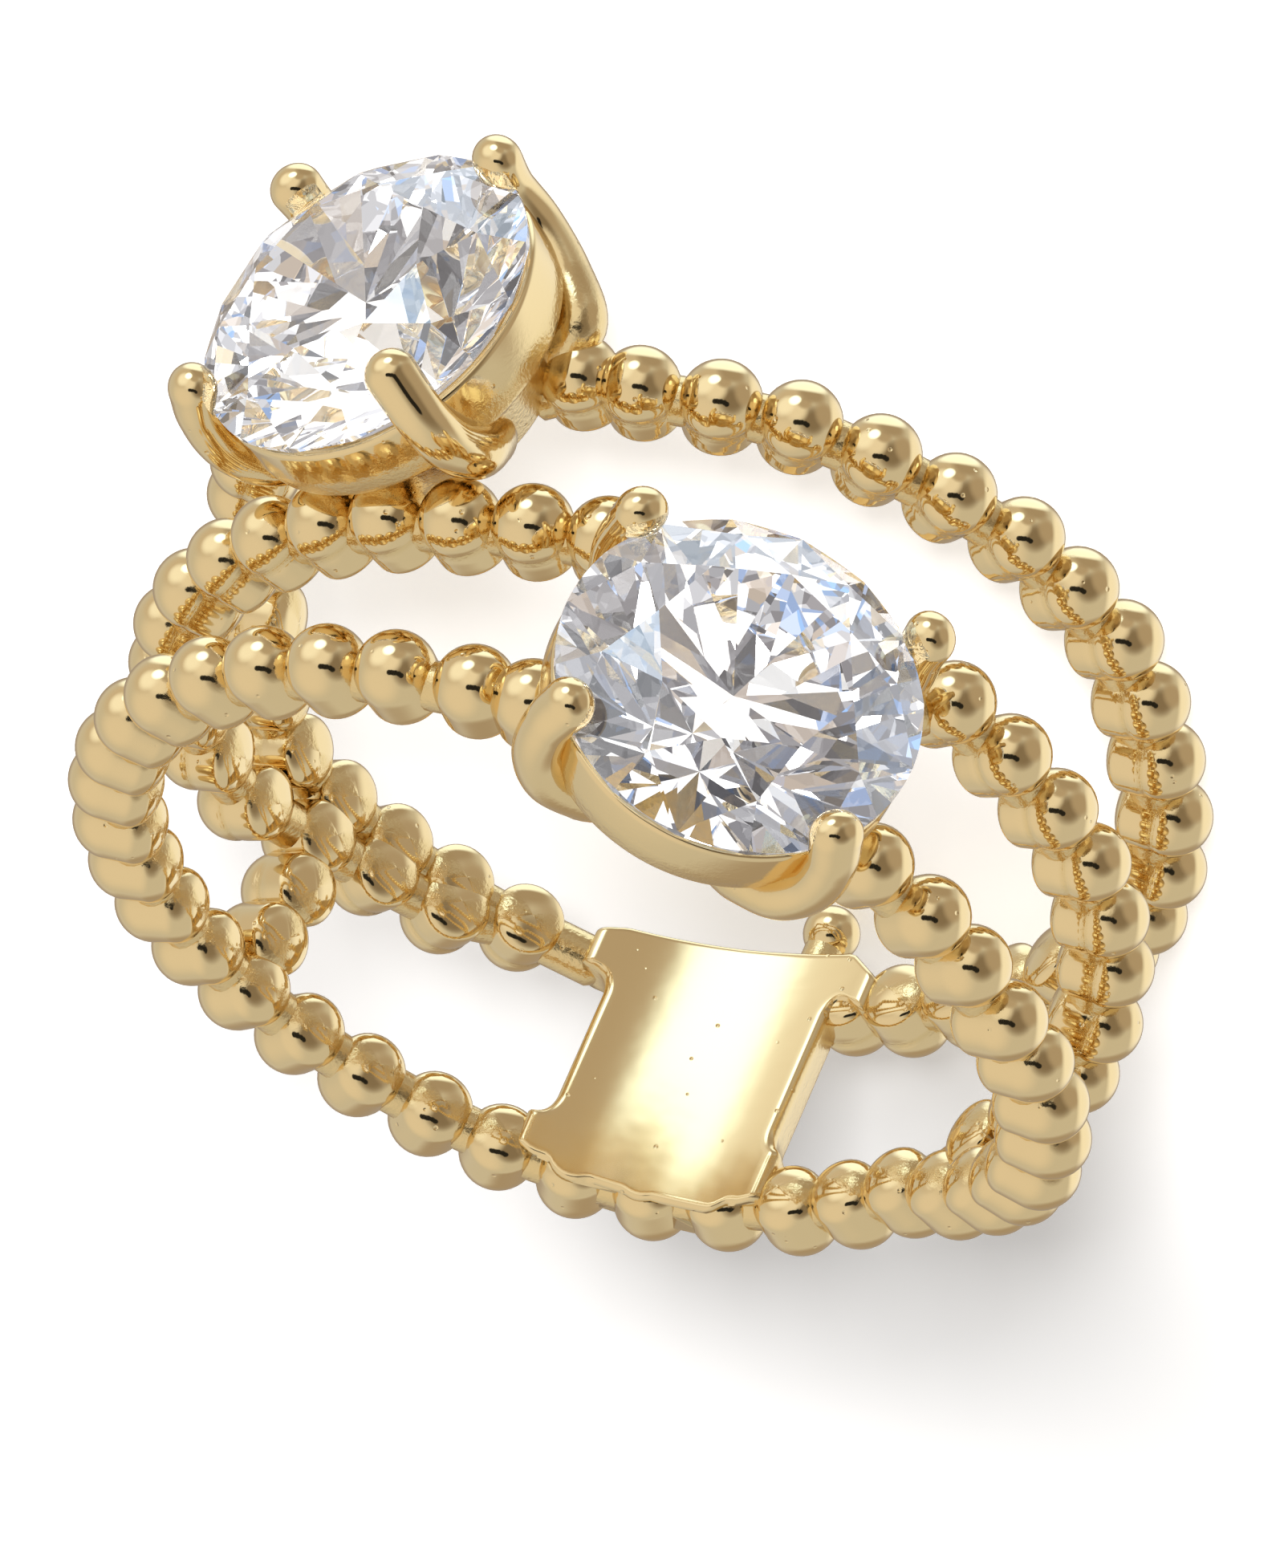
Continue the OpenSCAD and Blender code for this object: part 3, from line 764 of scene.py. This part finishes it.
class RingSizes(bpy.types.PropertyGroup):
    """Sizes of the ring in millimetres."""

    bead_radius: bpy.props.FloatProperty(
        name="Bead radius", description="Radius of a bead's dome in mm", default=0.788, min=0.5, max=1.2)
    dome_distance: bpy.props.FloatProperty(
        name="Dome distance", description="Finger axis to the domes' centres in mm",
        default=9.64, min=8.5, max=12)
    face_distance: bpy.props.FloatProperty(
        name="Face distance", description="Finger axis to the beads' flat faces in mm",
        default=8.58, min=7.5, max=11)
    face_round: bpy.props.FloatProperty(
        name="Face round", default=0.34, min=0.1, max=0.6,
        description="Depth in mm of the curve from a bead's face to its side, rear and middle strands")
    front_round: bpy.props.FloatProperty(
        name="Front face round", description="The same depth in mm on the front strand",
        default=0.52, min=0.1, max=0.9)
    side_share: bpy.props.FloatProperty(
        name="Side share", description="Radius of a bead's side as a share of the dome's",
        default=0.95, min=0.7, max=1)
    neck_radius: bpy.props.FloatProperty(
        name="Neck radius", description="Radius of the necks in mm", default=0.45, min=0.2, max=0.8)
    neck_distance: bpy.props.FloatProperty(
        name="Neck distance", description="Finger axis to the necks in mm", default=9.35, min=8.5, max=12)
    segments: bpy.props.IntProperty(
        name="Segments", description="Segments round a bead", default=40, min=16, max=64)
    stone_diameter: bpy.props.FloatProperty(
        name="Stone diameter", description="Diameter of both stones in mm", default=7.0, min=3, max=9)
    table_share: bpy.props.FloatProperty(
        name="Table share", description="Table width as a share of the diameter",
        default=0.56, min=0.5, max=0.7)
    crown_angle: bpy.props.FloatProperty(
        name="Crown angle", description="Slope of the crown in degrees", default=34.0, min=25, max=40)
    pavilion_angle: bpy.props.FloatProperty(
        name="Pavilion angle", description="Slope of the pavilion in degrees", default=40.75, min=38, max=45)
    girdle_thickness: bpy.props.FloatProperty(
        name="Girdle", description="Thickness of the girdle in mm", default=0.14, min=0.05, max=0.4)
    girdle_distance: bpy.props.FloatProperty(
        name="Girdle distance", description="Finger axis to the girdles in mm", default=12.186, min=9, max=14)
    prong_radius: bpy.props.FloatProperty(
        name="Prong radius", description="Radius of a prong in mm", default=0.47, min=0.2, max=0.8)


class RingColours(bpy.types.PropertyGroup):
    """Colours and finishes of the ring and the floor."""

    gold: bpy.props.FloatVectorProperty(
        name="Gold", description="Reflected colour of the gold",
        subtype="COLOR", default=(0.86, 0.67, 0.36), min=0, max=1)
    stone: bpy.props.FloatVectorProperty(
        name="Stone", description="Body colour of the stones",
        subtype="COLOR", default=(1.0, 1.0, 1.0), min=0, max=1)
    floor: bpy.props.FloatVectorProperty(
        name="Floor", description="Colour of the floor",
        subtype="COLOR", default=(0.93, 0.93, 0.93), min=0, max=1)
    grain: bpy.props.FloatProperty(
        name="Grain", description="Strength of the cast grain between the beads",
        subtype="FACTOR", default=1.0, min=0, max=1)


class StudioValues(bpy.types.PropertyGroup):
    """Camera and light."""

    camera_at: bpy.props.FloatVectorProperty(
        name="Camera", description="Place of the camera",
        subtype="XYZ", default=(-0.092599, -0.211005, 0.146024))
    lens: bpy.props.FloatProperty(
        name="Lens", description="Focal length in mm on a 36 mm wide sensor", default=398.5, min=20, max=1000)
    world: bpy.props.FloatProperty(
        name="Surround", description="Strength of the surrounding light", default=1.0, min=0, max=5)
    key: bpy.props.FloatProperty(
        name="Key light", description="Power of the large soft light",
        subtype="POWER", unit="POWER", default=20.0, min=0, max=50)
    floor_glow: bpy.props.FloatProperty(
        name="Floor glow", description="Light that the floor gives off",
        subtype="FACTOR", default=0.60, min=0, max=2)
    fill: bpy.props.FloatProperty(
        name="Fill", description="Share of the surround that lights the floor",
        subtype="FACTOR", default=0.45, min=0, max=1)


def ring_values():
    """The ring's property groups of the current scene."""
    scene = bpy.context.scene
    return scene.ring_sizes, scene.ring_colours, scene.ring_studio


def gold(name="Polished gold", roughness=0.07):
    """Gold of one polish, made on first use."""
    _, colours, _ = ring_values()
    return bpy.data.materials.get(name) or gold_material(name, tuple(colours.gold), colours.grain, roughness)


class RING_OT_strands(bpy.types.Operator):
    """Build the beaded strands and the link between them"""

    bl_idname = "ring.strands"
    bl_label = "Beaded strands"

    def execute(self, context):
        size, _, _ = ring_values()
        strands = {"front_strand": FRONT_ROWS, "middle_left_strand": MIDDLE_LEFT_ROWS,
                   "middle_right_strand": MIDDLE_RIGHT_ROWS, "rear_right_strand": REAR_RIGHT_ROWS,
                   "rear_left_strand": REAR_LEFT_ROWS, "link": LINK_ROWS}
        for seed, (name, rows) in enumerate(strands.items()):
            if name == "front_strand":
                strand = beads(rows, size, seed, 1, size.front_round, 0.0)
            else:
                strand = beads(rows, size, seed, -1, size.face_round, SEAM_CUT)
            metal(name, merged(strand, necks(rows, size)), gold())
        return {"FINISHED"}


class RING_OT_plate(bpy.types.Operator):
    """Build the plate, the ball behind it and the arms that join the strands"""

    bl_idname = "ring.plate"
    bl_label = "Plate and arms"

    def execute(self, context):
        size, _, _ = ring_values()
        metal("plate", plate(), gold("Satin gold", 0.15))
        metal("rear_ball", ball(), gold())
        metal("setting_arms", arms(SETTING_ARMS, size), gold())
        metal("band_arms", arms(BAND_ARMS, size), gold())
        return {"FINISHED"}


class RING_OT_settings(bpy.types.Operator):
    """Build both settings with their claws"""

    bl_idname = "ring.settings"
    bl_label = "Settings"

    def execute(self, context):
        size, _, _ = ring_values()
        metal("front_setting", setting(FRONT_PLACE, FRONT_PRONGS, size), gold())
        metal("rear_setting", setting(REAR_PLACE, REAR_PRONGS, size), gold())
        return {"FINISHED"}


class RING_OT_stones(bpy.types.Operator):
    """Build both cut stones"""

    bl_idname = "ring.stones"
    bl_label = "Stones"

    def execute(self, context):
        size, colours, _ = ring_values()
        clear = stone_material("Clear stone", tuple(colours.stone))
        stone("front_brilliant", FRONT_PLACE, "front_stone", clear, size, seed=3)
        stone("rear_brilliant", REAR_PLACE, "rear_stone", clear, size, seed=8)
        return {"FINISHED"}


class RING_OT_studio(bpy.types.Operator):
    """Build the floor, the lights and the camera"""

    bl_idname = "ring.studio"
    bl_label = "Studio"

    # Axes of the view in the row's frame.
    RIGHT = (-0.890175, 0.091800, -0.446275)
    UP = (0.300951, -0.616930, -0.727204)
    BACK = (-0.342078, -0.781646, 0.521548)

    def execute(self, context):
        _, colours, studio = ring_values()
        self.floor(tuple(colours.floor), studio)
        self.camera(studio)
        self.surround(studio)
        self.softbox("Key light", (-0.05, 0.145, 0.985), distance=1.20, width=0.28, power=studio.key)
        context.scene.view_settings.view_transform = "Standard"
        return {"FINISHED"}

    def floor(self, colour, studio):
        """A square of pale floor, wide enough to fill every view."""
        half = 1.2
        corners = np.array([(-half, -half, 0), (half, -half, 0), (half, half, 0), (-half, half, 0)])
        mesh = bpy.data.meshes.new("floor")
        mesh.from_pydata(corners, [], [(0, 1, 2, 3)])
        mesh.materials.append(floor_material("Pale floor", colour, studio.floor_glow))
        obj = bpy.data.objects.new("floor", mesh)
        obj.visible_glossy = False
        bpy.context.scene.collection.objects.link(obj)

    def in_view(self, right, up, back):
        """A direction given by its share to the camera's right, up and back."""
        way = np.array(self.RIGHT) * right + np.array(self.UP) * up + np.array(self.BACK) * back
        return way / np.linalg.norm(way)

    def placed(self, obj, at, back, up):
        """Moves, turns and links an object, so that its -Z looks against back."""
        back = np.array(back) / np.linalg.norm(back)
        right = np.cross(up, back)
        right /= np.linalg.norm(right)
        axes = np.stack([right, np.cross(back, right), back], 1)
        obj.matrix_world = Matrix.Translation(at) @ Matrix(axes.tolist()).to_4x4()
        bpy.context.scene.collection.objects.link(obj)

    def camera(self, studio):
        """The camera, level with the view axes."""
        data = bpy.data.cameras.new("Camera")
        data.sensor_fit, data.sensor_width = "HORIZONTAL", 36
        data.lens, data.clip_start, data.clip_end = studio.lens, 0.01, 10
        obj = bpy.data.objects.new("Camera", data)
        self.placed(obj, studio.camera_at, self.BACK, self.UP)
        bpy.context.scene.camera = obj

    def softbox(self, name, way, distance, width, power):
        """A square area light that looks at the ring from a direction in view."""
        data = bpy.data.lights.new(name, "AREA")
        data.shape, data.size, data.energy = "SQUARE", width, power
        way, middle = self.in_view(*way), np.array([0, 0, 0.006])
        lamp = bpy.data.objects.new(name, data)
        lamp.visible_glossy = False
        self.placed(lamp, (way * distance + middle).tolist(), way, self.UP)

    def surround(self, studio):
        """Soft grey surround with brighter and darker areas, which the gold mirrors.

        The stones gather it broken into panels instead, so that their facets differ. Matt surfaces
        get only a share of its light.
        """
        world = bpy.data.worlds.new("Soft surround")
        bpy.context.scene.world = world
        world.use_nodes = True
        n, l = world.node_tree.nodes, world.node_tree.links
        coord = n.new("ShaderNodeTexCoord")

        def part(way, low, high):
            """How far a direction points along way, as 0 to 1 between two limits."""
            dot, band = n.new("ShaderNodeVectorMath"), n.new("ShaderNodeMapRange")
            dot.operation = "DOT_PRODUCT"
            dot.inputs[1].default_value = self.in_view(*way).tolist()
            l.new(coord.outputs["Generated"], dot.inputs[0])
            band.interpolation_type = "SMOOTHSTEP"
            set_values(band, {"From Min": low, "From Max": high})
            l.new(dot.outputs["Value"], band.inputs["Value"])
            return band.outputs[0]

        def grey(value, warmth=0.0):
            return (value * (1 + warmth), value, value * (1 - warmth), 1)

        shade = grey(SURROUND_TONE)
        for way, low, high, value in AREAS:
            warmth = max(-0.2, 0.25 * (1 - value))  # darker areas are warmer
            shade = blended(n, l, part(way, low, high), shade, grey(value, warmth))
        for right, up in DARK_SPOTS:
            way = (right, up, math.sqrt(1 - right ** 2 - up ** 2))
            shade = blended(n, l, part(way, *SPOT_BLEND), shade, grey(SPOT_TONE))
        panels, panel = n.new("ShaderNodeTexVoronoi"), n.new("ShaderNodeSeparateColor")
        tone = stepped(n, PANEL_TONES)
        panels.inputs["Scale"].default_value = PANEL_CELLS
        l.new(coord.outputs["Generated"], panels.inputs["Vector"])
        l.new(panels.outputs["Color"], panel.inputs["Color"])
        l.new(panel.outputs["Red"], tone.inputs["Fac"])
        path, strength = n.new("ShaderNodeLightPath"), n.new("ShaderNodeMapRange")
        shade = blended(n, l, path.outputs["Is Transmission Ray"], shade, tone.outputs["Color"])
        background = n["Background"]
        l.new(shade, background.inputs["Color"])
        l.new(path.outputs["Is Diffuse Ray"], strength.inputs["Value"])
        set_values(strength, {"To Min": studio.world, "To Max": studio.world * studio.fill})
        l.new(strength.outputs[0], background.inputs["Strength"])


class RING_PT_panel(bpy.types.Panel):
    """Sidebar panel that lists the ring's pieces"""

    bl_label = "Beaded Ring"
    bl_idname = "RING_PT_panel"
    bl_space_type = "VIEW_3D"
    bl_region_type = "UI"
    bl_category = "Ring"

    def draw(self, context):
        for operator in OPERATORS:
            self.layout.operator(operator.bl_idname)
        for group in (context.scene.ring_sizes, context.scene.ring_colours, context.scene.ring_studio):
            for name in group.__annotations__:
                self.layout.prop(group, name)


OPERATORS = (RING_OT_strands, RING_OT_plate, RING_OT_settings, RING_OT_stones, RING_OT_studio)
CLASSES = (RingSizes, RingColours, StudioValues, *OPERATORS, RING_PT_panel)


def register():
    for cls in CLASSES:
        bpy.utils.register_class(cls)
    bpy.types.Scene.ring_sizes = bpy.props.PointerProperty(type=RingSizes)
    bpy.types.Scene.ring_colours = bpy.props.PointerProperty(type=RingColours)
    bpy.types.Scene.ring_studio = bpy.props.PointerProperty(type=StudioValues)


def unregister():
    for name in ("ring_sizes", "ring_colours", "ring_studio"):
        delattr(bpy.types.Scene, name)
    for cls in reversed(CLASSES):
        bpy.utils.unregister_class(cls)


def main():
    """Builds every piece and the studio."""
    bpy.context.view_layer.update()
    register()
    bpy.ops.ring.strands()
    bpy.ops.ring.plate()
    bpy.ops.ring.settings()
    bpy.ops.ring.stones()
    bpy.ops.ring.studio()


if __name__ == "__main__":
    main()
